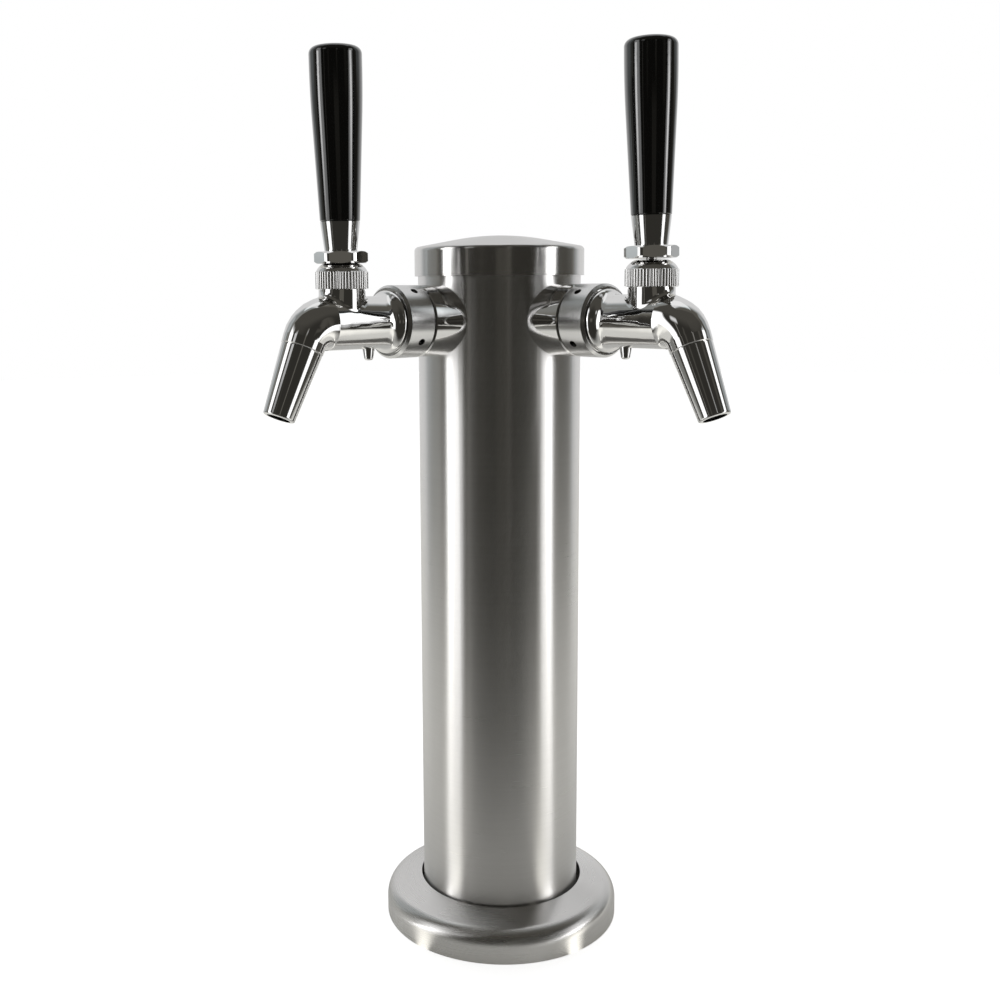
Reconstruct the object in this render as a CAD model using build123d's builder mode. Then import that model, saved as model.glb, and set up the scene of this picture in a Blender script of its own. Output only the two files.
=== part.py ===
"""Two-tap beer tower: a column on a bolted base flange, with two ball-lever, front-sealing taps.

Millimetres. The origin is the centre of the base's underside on the column's axis, +Z is up and
-Y is the front. Each tap stands in a vertical section plane of its own, whose local x is the
distance out from the column's axis and whose local y is the height above the tap's axis.
"""

import os
from math import asin, cos, degrees, hypot, radians, sin, sqrt, tan

from build123d import *

# ---------------------------------------------------------------- column, cap and base
column_diameter = 76.2
column_wall = 1.5
column_length = 318.8

gasket_thickness = 2.0
flange_thickness = 4.0
flange_overhang = 14.9
flange_edge_chamfer = 1.0
spigot_height = 12.0
spigot_wall = 3.0
spigot_clearance = 0.05
bolt_ring_offset = 7.9
bolt_hole_diameter = 5.5
bolt_count = 4

ring_overhang = 18.7
ring_height = 18.7
ring_wall = 1.0
ring_hole_clearance = 1.5
ring_shoulder_radius = 5.5
ring_crown_slope = 18.0
ring_rest_offset = 0.4

cap_wall = 1.4
cap_clearance = 0.1
cap_skirt = 13.5
cap_corner_radius = 2.0
cap_corner_rise = 2.1
cap_slope = 10.4
cap_crown_radius = 116.0
cap_shoulder_width = 2.6

# ---------------------------------------------------------------- taps on the column
tap_drop = 31.4
tap_spread = 90.0
seat_gap = 0.02
part_gap = 0.3
thread_gap = 0.05

shank_diameter = 22.2
shank_bore = 8.0
shank_flange_diameter = 26.4
shank_flange_thickness = 3.0
shank_hole_clearance = 0.3

saddle_diameter = 31.8
saddle_length = 14.2
saddle_edge_chamfer = 0.5

snap_ring_thickness = 1.0
snap_ring_width = 1.7
snap_ring_depth = 0.6
snap_ring_inset = 1.4
snap_ring_gap = 7.0

coupling_diameter = 31.8
coupling_length = 14.6
coupling_lip = 3.0
coupling_front_chamfer = 1.1
coupling_back_chamfer = 0.8
coupling_thread_diameter = 28.5
spanner_hole_diameter = 3.3
spanner_hole_count = 4
spanner_hole_inset = 8.2
spanner_hole_turn = {"left": -33.0, "right": 38.0}

backing_washer_diameter = 29.0
backing_washer_setback = 3.2
shank_nut_flats = 28.0
shank_nut_thickness = 4.5
nut_corner_chamfer = 0.8

tail_washer_thickness = 1.0
tail_flange_diameter = 19.0
tail_flange_thickness = 1.8
tail_tube_diameter = 8.4
tail_bore = 5.0
tail_bend_radius = 7.0
tail_drop = 38.0
tail_nut_flats = 25.4
tail_nut_lip = 2.0
tail_nut_overlap = 4.6
barb_diameter = 9.8
barb_count = 3
barb_pitch = 5.0
barb_land = 1.2
barb_start = 3.0

# ---------------------------------------------------------------- tap body and spout
coupling_washer_thickness = 1.5
coupling_washer_diameter = 21.0
body_thread_length = 6.2
bell_diameter = 27.4
bell_face_length = 1.3
bell_nose_length = 2.2
bell_nose_share = 0.45
bell_length = 8.0
barrel_diameter = 22.5
elbow_lead = 9.3
elbow_radius = 11.2
elbow_turn = 66.0
elbow_end_diameter = 18.5
mouth_length = 4.0
mouth_diameter = 18.0
neck_blend_radius = 2.5
drip_pin_reach = 17.65
drip_pin_root_diameter = 5.3
drip_pin_tip_diameter = 3.6
drip_pin_length = 4.9
drip_pin_round = 1.2

main_bore = 13.2
outlet_bore = 10.0
seat_ring_section = 1.8
seat_ring_diameter = 12.4
seat_ring_lead = 7.3
groove_clearance = 0.05

spout_length = 30.2
spout_top_diameter = 17.6
spout_tip_diameter = 13.5
spout_thread_diameter = 13.8
spout_thread_length = 4.4
spout_ring_section = 1.6
spout_ring_diameter = 12.0
spout_edge_round = 0.8
spout_seam_chamfer = 0.4

# ---------------------------------------------------------------- lever, ball and bonnet
lever_reach = 31.15
pivot_height = 11.2
ball_diameter = 10.6
ball_clearance = 0.1
stem_neck_diameter = 4.4
stem_thread_diameter = 9.5
stem_thread_length = 20.0
stem_thread_lead = 1.2
finger_diameter = 2.4
finger_root_diameter = 3.6
finger_root_height = 3.0
finger_tip_diameter = 4.4

neck_diameter = 19.7
neck_height = 14.2
neck_thread_diameter = 18.0
neck_top = 18.8
neck_bore = 15.6
seat_shoulder_height = 7.4
finger_hole_diameter = 9.6
ball_ring_section = 2.2
ball_washer_sill = 4.0

bonnet_diameter = 22.2
bonnet_knurl_height = 7.4
bonnet_crown_diameter = 21.6
bonnet_crown_height = 3.6
bonnet_crown_round = 6.9
bonnet_opening = 13.4
bonnet_floor = 19.0
bonnet_floor_opening = 10.0
bonnet_edge_chamfer = 0.3
rib_count = 48
rib_radius = 0.72

shuttle_rod_diameter = 7.2
shuttle_head_diameter = 11.6
shuttle_head_length = 1.8
shuttle_head_setback = 1.4
shuttle_nose_length = 2.4
shuttle_nose_diameter = 9.1
shuttle_guide_clearance = 0.1
shuttle_guide_length = 3.0
shuttle_tail_length = 10.3
shuttle_flute_diameter = 4.0
shuttle_flute_count = 4
finger_play = 0.32
finger_slot_flare = 0.9

# ---------------------------------------------------------------- handle
jam_nut_flats = 20.6
jam_nut_diameter = 22.6
jam_nut_thickness = 4.9
jam_nut_lift = 13.8
jam_nut_corner_chamfer = 0.8
jam_nut_turn = {"left": 22.0, "right": -14.0}
jam_nut_recess_diameter = 17.0
jam_nut_recess_depth = 1.6
ferrule_length = 12.5
ferrule_bottom_diameter = 13.6
ferrule_top_diameter = 16.6
ferrule_spigot_diameter = 12.0
ferrule_spigot_length = 9.0
grip_bottom_diameter = 16.8
grip_cone_length = 41.0
grip_cone_diameter = 20.8
grip_ease_length = 22.5
grip_top_diameter = 21.9
grip_land_length = 3.6
grip_shoulder_radius = 3.0
grip_crown_rise = 0.7
handle_edge_chamfer = 0.3
handle_raise = {"left": 0.0, "right": 1.0}
lever_lean = {"left": 0.67, "right": -1.27}

# ---------------------------------------------------------------- places worked out from the sizes
column_radius = column_diameter / 2
column_inside = column_radius - column_wall
column_bottom = gasket_thickness + flange_thickness
column_top = column_bottom + column_length
spigot_radius = column_inside - spigot_clearance
spigot_bore = spigot_radius - spigot_wall
flange_radius = column_radius + flange_overhang
bolt_ring_radius = column_radius + bolt_ring_offset
ring_radius = column_radius + ring_overhang
ring_hole = column_radius + ring_hole_clearance
cap_inside = column_radius + cap_clearance
cap_radius = cap_inside + cap_wall
cap_corner_height = column_top + cap_corner_rise
cap_bottom = cap_corner_height - cap_skirt

tap_height = column_top - tap_drop
saddle_face = column_radius + saddle_length
backing_washer_face = column_inside - backing_washer_setback
shank_nut_face = backing_washer_face - shank_nut_thickness
shank_inner_end = shank_nut_face - part_gap - tail_nut_overlap
shank_radius = shank_diameter / 2
shank_hole = shank_radius + shank_hole_clearance
thread_bore = shank_radius + thread_gap
snap_groove_start = saddle_face - snap_ring_inset
coupling_radius = coupling_diameter / 2
coupling_thread = coupling_thread_diameter / 2
coupling_back = saddle_face + part_gap
coupling_front = coupling_back + coupling_length
coupling_lip_face = coupling_back + coupling_lip
shank_flange_back = coupling_lip_face + thread_gap
shank_face = shank_flange_back + shank_flange_thickness
body_back = shank_face + coupling_washer_thickness
lever_distance = body_back + lever_reach
elbow_start = lever_distance + elbow_lead
seat_ring_distance = lever_distance + seat_ring_lead
drip_pin_distance = body_back + drip_pin_reach
tail_washer_face = shank_inner_end - tail_washer_thickness
tail_flange_face = tail_washer_face - tail_flange_thickness
tail_nut_end = tail_flange_face - tail_nut_lip
tail_tube_radius = tail_tube_diameter / 2
tail_drop_distance = tail_nut_end - tail_bend_radius

barrel_radius = barrel_diameter / 2
bell_radius = bell_diameter / 2
bell_back = body_back + body_thread_length
bell_front = bell_back + bell_length
turn = radians(elbow_turn)
elbow_end = (elbow_start + elbow_radius * sin(turn), -elbow_radius * (1 - cos(turn)))
spout_direction = (cos(turn), -sin(turn))
main_bore_radius = main_bore / 2
seat_groove = seat_ring_section / 2 + groove_clearance
seat_groove_start = seat_ring_distance - seat_groove
seat_groove_end = seat_ring_distance + seat_groove
spout_thread = spout_thread_diameter / 2
spout_socket_depth = spout_thread_length + spout_ring_section + 2 * groove_clearance

ball_radius = ball_diameter / 2
ball_socket = ball_radius + ball_clearance
ball_ring_room = ball_ring_section / 2 + 2 * groove_clearance
ball_seat_top = pivot_height - ball_ring_room
ball_washer_bottom = pivot_height + ball_ring_room
neck_bore_radius = neck_bore / 2
packing_radius = neck_bore_radius - ball_clearance
stem_neck = stem_neck_diameter / 2
stem_thread = stem_thread_diameter / 2
finger_tip = finger_tip_diameter / 2
finger_slot = finger_tip + finger_play
bonnet_radius = bonnet_diameter / 2
bonnet_bottom = neck_height + ball_clearance
bonnet_knurl_top = bonnet_bottom + bonnet_knurl_height
bonnet_rim = bonnet_knurl_top + bonnet_crown_height
stem_thread_start = pivot_height + hypot(bonnet_opening / 2, bonnet_rim - pivot_height) + part_gap
jam_nut_bottom = pivot_height + jam_nut_lift
ferrule_bottom = jam_nut_bottom + jam_nut_thickness
grip_bottom = ferrule_bottom + ferrule_length

tap_azimuth = {"left": 270 - tap_spread / 2, "right": 270 + tap_spread / 2}


# ---------------------------------------------------------------- planes and axes
def tap_section(side):
    """The vertical plane through a tap: local x runs out along the tap's axis, local y is up."""
    angle = radians(tap_azimuth[side])
    outward = (cos(angle), sin(angle), 0)
    across = (sin(angle), -cos(angle), 0)
    return Plane(origin=(0, 0, tap_height), x_dir=outward, z_dir=across)


def plane_axis(plane, point=(0, 0), direction=(1, 0)):
    """The line through a point of a plane, as an axis to turn a profile about."""
    start = plane.from_local_coords(Vector(*point, 0))
    end = plane.from_local_coords(Vector(point[0] + direction[0], point[1] + direction[1], 0))
    return Axis(start, end - start)


def across_tap(section, distance):
    """The plane square to the tap's axis at a distance from the column's axis, facing outward."""
    origin = section.from_local_coords(Vector(distance, 0, 0))
    return Plane(origin=origin, x_dir=-section.z_dir, z_dir=section.x_dir)


def lever_section(section):
    """The section plane with its origin on the lever: local x is a radius, local y a height."""
    origin = section.from_local_coords(Vector(lever_distance, 0, 0))
    return Plane(origin=origin, x_dir=section.x_dir, z_dir=section.z_dir)


def across_lever(section, height):
    """The level plane at a height above the tap's axis, centred on the lever, facing up."""
    origin = section.from_local_coords(Vector(lever_distance, height, 0))
    return Plane(origin=origin, x_dir=section.x_dir, z_dir=(0, 0, 1))


def spout_section(section, distance=0):
    """The section plane turned along the spout: local x runs down it from the elbow's end."""
    place = [elbow_end[i] + distance * spout_direction[i] for i in range(2)]
    origin = section.from_local_coords(Vector(*place, 0))
    onward = [place[i] + spout_direction[i] for i in range(2)]
    x_dir = section.from_local_coords(Vector(*onward, 0)) - origin
    return Plane(origin=origin, x_dir=x_dir, z_dir=section.z_dir)


def across_spout(section, distance):
    """The plane square to the spout at a distance past the elbow's end, facing along it."""
    along = spout_section(section, distance)
    return Plane(origin=along.origin, x_dir=along.z_dir, z_dir=along.x_dir)


# ---------------------------------------------------------------- shared shapes
def turned(plane, points, axis):
    """A solid turned from a closed polygon on a plane."""
    with BuildPart() as piece:
        with BuildSketch(plane):
            with BuildLine():
                Polyline(*points, close=True)
            make_face()
        revolve(axis=axis)
    return piece.part


def o_ring(plane, axis, centre, section_diameter):
    """A rubber ring of round section turned about an axis."""
    with BuildPart() as piece:
        with BuildSketch(plane):
            with Locations(centre):
                Circle(section_diameter / 2)
        revolve(axis=axis)
    return piece.part


def hex_nut(plane, flats, thickness, bore, rotation, corner_chamfer, turned_to=None, recess=(0, 0)):
    """A hexagon nut standing on a plane, its corners turned off at both ends.

    Its corners can be turned down to a diameter. The recess is a radius and a depth: a cone sunk
    into the nut's lower face.
    """
    hexagon_corner = flats / sqrt(3)
    corner = turned_to / 2 if turned_to else hexagon_corner
    bevel = corner - flats / 2
    profile_plane = Plane(origin=plane.origin, x_dir=plane.x_dir, z_dir=-plane.y_dir)
    with BuildPart() as piece:
        with BuildSketch(plane):
            RegularPolygon(radius=hexagon_corner, side_count=6, rotation=rotation)
        extrude(amount=thickness)
        with BuildSketch(profile_plane):
            with BuildLine():
                Polyline(
                    (0, 0),
                    (corner - bevel, 0),
                    (corner, corner_chamfer),
                    (corner, thickness - corner_chamfer),
                    (corner - bevel, thickness),
                    (0, thickness),
                    close=True,
                )
            make_face()
        revolve(axis=Axis(plane.origin, plane.z_dir), mode=Mode.INTERSECT)
        with BuildSketch(plane):
            Circle(bore)
        extrude(amount=thickness, mode=Mode.SUBTRACT)
        if recess[1]:
            with BuildSketch(profile_plane):
                with BuildLine():
                    Polyline((0, 0), (recess[0], 0), (bore, recess[1]), (0, recess[1]), close=True)
                make_face()
            revolve(axis=Axis(plane.origin, plane.z_dir), mode=Mode.SUBTRACT)
    return piece.part


def crown_arc(centre_x, centre_y, corner_radius, top):
    """A corner arc that runs tangent into a shallow crown centred on the y axis.

    Gives the angle at which the corner arc ends and the crown's radius.
    """
    rise = top - centre_y
    crown_radius = (centre_x**2 + rise**2 - corner_radius**2) / (2 * (rise - corner_radius))
    return 90 - degrees(asin(centre_x / (crown_radius - corner_radius))), crown_radius


def save(part, name):
    """Label a finished piece and write it as its own file."""
    part.label = name
    export_step(part, f"parts/{name}.step")


os.makedirs("parts", exist_ok=True)
sections = {side: tap_section(side) for side in tap_azimuth}

# ================================================================ tower
# The tube, with a clearance hole through its front wall for each shank.
with BuildPart() as column_tube:
    with BuildSketch(Plane.XY.offset(column_bottom)):
        Circle(column_radius)
        Circle(column_inside, mode=Mode.SUBTRACT)
    extrude(amount=column_length)
    for section in sections.values():
        with BuildSketch(across_tap(section, 0)):
            Circle(shank_hole)
        extrude(amount=column_diameter, mode=Mode.SUBTRACT)
save(column_tube.part, "column_tube")

# The base flange: a bolted plate with a raised spigot that the tube is pressed and welded over.
with BuildPart() as base_flange:
    with BuildSketch(Plane.XY.offset(gasket_thickness)):
        Circle(flange_radius)
    extrude(amount=flange_thickness)
    chamfer(base_flange.edges().group_by(Axis.Z)[-1], length=flange_edge_chamfer)
    with BuildSketch(Plane.XY.offset(column_bottom)):
        Circle(spigot_radius)
    extrude(amount=spigot_height)
    with BuildSketch(Plane.XY.offset(gasket_thickness)):
        Circle(spigot_bore)
        with PolarLocations(bolt_ring_radius, bolt_count, start_angle=45):
            Circle(bolt_hole_diameter / 2)
    extrude(amount=flange_thickness + spigot_height, mode=Mode.SUBTRACT)
save(base_flange.part, "base_flange")

with BuildPart() as base_gasket:
    with BuildSketch():
        Circle(flange_radius)
        Circle(spigot_bore, mode=Mode.SUBTRACT)
        with PolarLocations(bolt_ring_radius, bolt_count, start_angle=45):
            Circle(bolt_hole_diameter / 2, mode=Mode.SUBTRACT)
    extrude(amount=gasket_thickness)
save(base_gasket.part, "base_gasket")


# The loose cover ring: a spun sheet with an upright skirt, a rounded shoulder and a coned crown.
slope = radians(ring_crown_slope)
shoulder_out = ring_radius - ring_shoulder_radius
crown_start = shoulder_out + ring_shoulder_radius * sin(slope)
crown_drop = (crown_start - ring_hole) * tan(slope)
shoulder = (shoulder_out, ring_height - crown_drop - ring_shoulder_radius * cos(slope))
hole_underside = (ring_hole, ring_height - ring_wall / cos(slope))
with BuildPart() as base_cover_ring:
    with BuildSketch(Plane.XZ):
        with BuildLine():
            Line((ring_radius, 0), (ring_radius, shoulder[1]))
            outer = CenterArc(shoulder, ring_shoulder_radius, 0, 90 - ring_crown_slope)
            inner = CenterArc(shoulder, ring_shoulder_radius - ring_wall, 0, 90 - ring_crown_slope)
            Polyline(outer @ 1, (ring_hole, ring_height), hole_underside, inner @ 1)
            Polyline(inner @ 0, (ring_radius - ring_wall, 0), (ring_radius, 0))
        make_face()
    revolve(axis=Axis.Z)
save(Pos(ring_rest_offset, 0, 0) * base_cover_ring.part, "base_cover_ring")

# The slip-over cap: a drawn skirt and a coned, domed top, with a shoulder inside on the tube's end.
slope = radians(cap_slope)
cap_corner = (cap_radius - cap_corner_radius, cap_corner_height - cap_corner_radius)
cone_start = tuple(cap_corner[i] + cap_corner_radius * (sin(slope), cos(slope))[i] for i in range(2))
crown_reach = cap_crown_radius * sin(slope)
crown_level = cone_start[1] + (cone_start[0] - crown_reach) * tan(slope)
crown_centre = (0, crown_level - cap_crown_radius * cos(slope))
shoulder_inner = cap_inside - cap_shoulder_width
shoulder_level = cone_start[1] + (cone_start[0] - shoulder_inner) * tan(slope) - cap_wall / cos(slope)
with BuildPart() as top_cap:
    with BuildSketch(Plane.XZ):
        with BuildLine():
            Line((cap_radius, cap_bottom), (cap_radius, cap_corner[1]))
            CenterArc(cap_corner, cap_corner_radius, 0, 90 - cap_slope)
            outer = CenterArc(crown_centre, cap_crown_radius, 90 - cap_slope, cap_slope)
            inner = CenterArc(crown_centre, cap_crown_radius - cap_wall, 90 - cap_slope, cap_slope)
            Line(cone_start, outer @ 0)
            Line(outer @ 1, inner @ 1)
            Polyline(
                inner @ 0,
                (shoulder_inner, shoulder_level),
                (shoulder_inner, column_top),
                (cap_inside, column_top),
                (cap_inside, cap_bottom),
                (cap_radius, cap_bottom),
            )
        make_face()
    revolve(axis=Axis.Z)
save(top_cap.part, "top_cap")


# ================================================================ shank and coupling
def saddle(section):
    """The chrome stand-off between the tube and the coupling nut, hollowed to the tube's curve."""
    recess_start = snap_groove_start - thread_gap
    with BuildPart() as piece:
        with BuildSketch(across_tap(section, 0)):
            Circle(saddle_diameter / 2)
        extrude(amount=saddle_face)
        face_edges = piece.edges().group_by(Axis(section.origin, section.x_dir))[-1]
        chamfer(face_edges, length=saddle_edge_chamfer)
        with BuildSketch(across_tap(section, 0)):
            Circle(shank_radius + seat_gap)
        extrude(amount=saddle_face, mode=Mode.SUBTRACT)
        with BuildSketch(across_tap(section, recess_start)):
            Circle(shank_radius + snap_ring_width)
        extrude(amount=saddle_face - recess_start, mode=Mode.SUBTRACT)
        with BuildSketch(Plane.XY.offset(tap_height - saddle_diameter)):
            Circle(column_radius + seat_gap)
        extrude(amount=2 * saddle_diameter, mode=Mode.SUBTRACT)
    return piece.part


def shank(section):
    """The threaded tube through the wall, with the flange that the coupling nut pulls on."""
    groove_end = snap_groove_start + snap_ring_thickness
    groove = shank_radius - snap_ring_depth
    points = (
        (shank_inner_end, shank_bore / 2),
        (shank_inner_end, shank_radius),
        (snap_groove_start, shank_radius),
        (snap_groove_start, groove),
        (groove_end, groove),
        (groove_end, shank_radius),
        (shank_flange_back, shank_radius),
        (shank_flange_back, shank_flange_diameter / 2),
        (shank_face, shank_flange_diameter / 2),
        (shank_face, shank_bore / 2),
    )
    return turned(section, points, plane_axis(section))


def coupling_snap_ring(section):
    """The open ring in the shank's groove that keeps the coupling nut from sliding back."""
    outer = shank_radius + snap_ring_width - part_gap
    with BuildPart() as piece:
        with BuildSketch(across_tap(section, snap_groove_start + seat_gap)):
            Circle(outer)
            Circle(shank_radius - snap_ring_depth + seat_gap, mode=Mode.SUBTRACT)
            with Locations((0, -outer)):
                Rectangle(snap_ring_gap, 2 * outer, mode=Mode.SUBTRACT)
        extrude(amount=snap_ring_thickness - 2 * seat_gap)
    return piece.part


def coupling_nut(section, side):
    """The captive round nut that pulls the tap on, drilled through for a pin spanner."""
    thread = coupling_thread + thread_gap
    points = (
        (coupling_back, thread_bore),
        (coupling_back, coupling_radius - coupling_back_chamfer),
        (coupling_back + coupling_back_chamfer, coupling_radius),
        (coupling_front - coupling_front_chamfer, coupling_radius),
        (coupling_front, coupling_radius - coupling_front_chamfer),
        (coupling_front, thread),
        (coupling_lip_face, thread),
        (coupling_lip_face, thread_bore),
    )
    foot = section.from_local_coords(Vector(coupling_front - spanner_hole_inset, 0, 0))
    with BuildPart() as piece:
        add(turned(section, points, plane_axis(section)))
        for index in range(spanner_hole_count):
            angle = radians(spanner_hole_turn[side] + index * 360 / spanner_hole_count)
            outward = section.y_dir * cos(angle) + section.z_dir * sin(angle)
            start = foot + outward * shank_radius
            with BuildSketch(Plane(origin=start, x_dir=section.x_dir, z_dir=outward)):
                Circle(spanner_hole_diameter / 2)
            extrude(amount=coupling_radius, mode=Mode.SUBTRACT)
    return piece.part


def coupling_washer(section):
    bore, rim = shank_bore / 2, coupling_washer_diameter / 2
    points = ((shank_face, bore), (shank_face, rim), (body_back, rim), (body_back, bore))
    return turned(section, points, plane_axis(section))


def shank_washer(section):
    """The backing washer inside the tube: flat for the nut, curved to the wall."""
    with BuildPart() as piece:
        with BuildSketch(across_tap(section, backing_washer_face)):
            Circle(backing_washer_diameter / 2)
            Circle(shank_hole, mode=Mode.SUBTRACT)
        extrude(amount=backing_washer_diameter)
        with BuildSketch(Plane.XY.offset(tap_height - backing_washer_diameter)):
            Circle(column_inside - seat_gap)
        extrude(amount=2 * backing_washer_diameter, mode=Mode.INTERSECT)
    return piece.part


def shank_nut(section):
    plane = across_tap(section, shank_nut_face)
    return hex_nut(plane, shank_nut_flats, shank_nut_thickness, thread_bore, 30, nut_corner_chamfer)


def tail_washer(section):
    bore, rim = shank_bore / 2, tail_flange_diameter / 2
    start, end = tail_washer_face, shank_inner_end
    return turned(section, ((start, bore), (start, rim), (end, rim), (end, bore)), plane_axis(section))


def tail_elbow(section):
    """The bent tail: a flange held by the tail nut, and a barbed end hanging down the tube."""
    bend_top = (tail_nut_end, 0)
    drop_top = (tail_drop_distance, -tail_bend_radius)
    with BuildPart() as piece:
        with BuildSketch(across_tap(section, tail_flange_face)):
            Circle(tail_flange_diameter / 2)
        extrude(amount=tail_flange_thickness)
        with BuildLine(section) as route:
            Line((tail_washer_face, 0), bend_top)
            CenterArc((tail_nut_end, -tail_bend_radius), tail_bend_radius, 90, 90)
            Line(drop_top, (tail_drop_distance, -tail_drop))
        start_plane = Plane(origin=route.line @ 0, z_dir=route.line % 0)
        with BuildSketch(start_plane):
            Circle(tail_tube_radius)
        sweep(path=route.line)
        with BuildSketch(section):
            for index in range(barb_count):
                foot = barb_start - tail_drop + index * barb_pitch
                crest = tail_drop_distance + barb_diameter / 2
                with BuildLine():
                    Polyline(
                        (tail_drop_distance, foot),
                        (tail_drop_distance + tail_tube_radius, foot),
                        (crest, foot + barb_pitch - barb_land),
                        (crest, foot + barb_pitch),
                        (tail_drop_distance, foot + barb_pitch),
                        close=True,
                    )
                make_face()
        revolve(axis=plane_axis(section, (tail_drop_distance, 0), (0, 1)))
        with BuildSketch(start_plane):
            Circle(tail_bore / 2)
        sweep(path=route.line, mode=Mode.SUBTRACT)
    return piece.part


def tail_nut(section):
    """The hexagon nut that pulls the tail's flange and washer on to the shank's inner end."""
    length = shank_inner_end + tail_nut_overlap - tail_nut_end
    plane = across_tap(section, tail_nut_end)
    bore = tail_tube_radius + part_gap
    with BuildPart() as piece:
        add(hex_nut(plane, tail_nut_flats, length, bore, 30, nut_corner_chamfer))
        with BuildSketch(across_tap(section, tail_flange_face)):
            Circle(thread_bore)
        extrude(amount=length, mode=Mode.SUBTRACT)
    return piece.part


# ================================================================ tap body and spout
def is_neck_meeting(edge, neck_line):
    """Whether an edge belongs to the curve in which the neck's cylinder meets the barrel."""
    if edge.geom_type in (GeomType.LINE, GeomType.CIRCLE):
        return False
    ends = (edge @ 0, edge @ 1)
    reach = [(end - neck_line.position).cross(neck_line.direction).length for end in ends]
    return all(abs(distance - neck_diameter / 2) < part_gap / 6 for distance in reach)


def tap_body(section):
    """The cast body: threaded back, bell, barrel, turned-down elbow and the neck for the lever."""
    nose = bell_back + bell_face_length
    bell_middle = barrel_radius + bell_nose_share * (bell_radius - barrel_radius)
    outlet = outlet_bore / 2
    along_spout = spout_section(section)
    mouth = (
        (0, 0),
        (0, elbow_end_diameter / 2),
        (mouth_length - spout_seam_chamfer, mouth_diameter / 2),
        (mouth_length, mouth_diameter / 2 - spout_seam_chamfer),
        (mouth_length, 0),
    )
    with BuildLine(section) as bend:
        CenterArc((elbow_start, -elbow_radius), elbow_radius, 90, -elbow_turn)
    bend_start = Plane(origin=bend.line @ 0, z_dir=bend.line % 0)
    bend_end = Plane(origin=bend.line @ 1, z_dir=bend.line % 1)
    with BuildPart() as piece:
        # elbow, barrel and mouth
        with BuildSketch(bend_start):
            Circle(barrel_radius)
        with BuildSketch(bend_end):
            Circle(elbow_end_diameter / 2)
        sweep(path=bend.line, multisection=True)
        with BuildSketch(across_tap(section, body_back)):
            Circle(barrel_radius)
        extrude(amount=elbow_start - body_back)
        add(turned(along_spout, mouth, plane_axis(along_spout)))
        # neck, blended into the barrel, with the bonnet's thread above
        with BuildSketch(across_lever(section, 0)):
            Circle(neck_diameter / 2)
        extrude(amount=neck_height)
        neck_line = plane_axis(lever_section(section), direction=(0, 1))
        meeting = [edge for edge in piece.edges() if is_neck_meeting(edge, neck_line)]
        fillet(meeting, radius=neck_blend_radius)
        with BuildSketch(across_lever(section, neck_height)):
            Circle(neck_thread_diameter / 2)
        extrude(amount=neck_top - neck_height)
        # threaded back end and bell
        with BuildSketch(section):
            with BuildLine():
                Polyline(
                    (bell_front, barrel_radius),
                    (bell_front, 0),
                    (body_back, 0),
                    (body_back, coupling_thread),
                    (bell_back, coupling_thread),
                    (bell_back, bell_radius),
                    (nose, bell_radius),
                )
                Spline(
                    (nose, bell_radius),
                    (nose + bell_nose_length, bell_middle),
                    (bell_front, barrel_radius),
                    tangents=((1, 0), (1, 0)),
                )
            make_face()
        revolve(axis=plane_axis(section))
        # drip pin under the barrel
        root, tip = drip_pin_root_diameter / 2, drip_pin_tip_diameter / 2
        pin_end = -barrel_radius - drip_pin_length
        with BuildSketch(section) as pin:
            with BuildLine():
                Polyline(
                    (drip_pin_distance, pin_end),
                    (drip_pin_distance, -main_bore_radius),
                    (drip_pin_distance + root, -main_bore_radius),
                    (drip_pin_distance + root, -barrel_radius),
                    (drip_pin_distance + tip, pin_end),
                    close=True,
                )
            make_face()
            tip_corner = pin.vertices().group_by(Axis.Y)[0].sort_by(Axis.X)[-1]
            fillet(tip_corner, radius=drip_pin_round)
        revolve(axis=plane_axis(section, (drip_pin_distance, 0), (0, 1)))
        # inlet bore with the groove of the front seat, then round the elbow to the spout's socket
        groove_floor = seat_ring_diameter / 2 + seat_groove
        with BuildSketch(section):
            with BuildLine():
                Polyline(
                    (body_back, 0),
                    (body_back, main_bore_radius),
                    (seat_groove_start, main_bore_radius),
                    (seat_groove_start, groove_floor),
                    (seat_groove_end, groove_floor),
                    (seat_groove_end, outlet),
                    (elbow_start, outlet),
                    (elbow_start, 0),
                    close=True,
                )
            make_face()
        revolve(axis=plane_axis(section), mode=Mode.SUBTRACT)
        with BuildSketch(bend_start):
            Circle(outlet)
        sweep(path=bend.line, mode=Mode.SUBTRACT)
        with BuildSketch(across_spout(section, mouth_length - spout_socket_depth)):
            Circle(spout_thread + thread_gap)
        extrude(amount=spout_socket_depth, mode=Mode.SUBTRACT)
        # way in for the lever's finger, and the pocket of the ball's seats
        with BuildSketch(across_lever(section, 0)):
            Circle(finger_hole_diameter / 2)
        extrude(amount=neck_height, mode=Mode.SUBTRACT)
        with BuildSketch(across_lever(section, seat_shoulder_height)):
            Circle(neck_bore_radius)
        extrude(amount=neck_top - seat_shoulder_height, mode=Mode.SUBTRACT)
    return piece.part


def spout(section):
    """The screwed-in spout: a bored cone narrowing to the rounded tip."""
    outlet = outlet_bore / 2
    top, tip = spout_top_diameter / 2, spout_tip_diameter / 2
    points = (
        (-spout_thread_length, outlet),
        (-spout_thread_length, spout_thread),
        (0, spout_thread),
        (0, top - spout_seam_chamfer),
        (spout_seam_chamfer, top),
        (spout_length, tip),
        (spout_length, outlet),
    )
    plane = spout_section(section, mouth_length)
    with BuildPart() as piece:
        add(turned(plane, points, plane_axis(plane)))
        rim = piece.edges().group_by(Axis(plane.origin, plane.x_dir))[-1].sort_by(SortBy.RADIUS)[-1]
        fillet(rim, radius=spout_edge_round)
    return piece.part


def spout_o_ring(section):
    plane = spout_section(section, mouth_length)
    centre = (-spout_thread_length - groove_clearance - spout_ring_section / 2, spout_ring_diameter / 2)
    return o_ring(plane, plane_axis(plane), centre, spout_ring_section)


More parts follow.
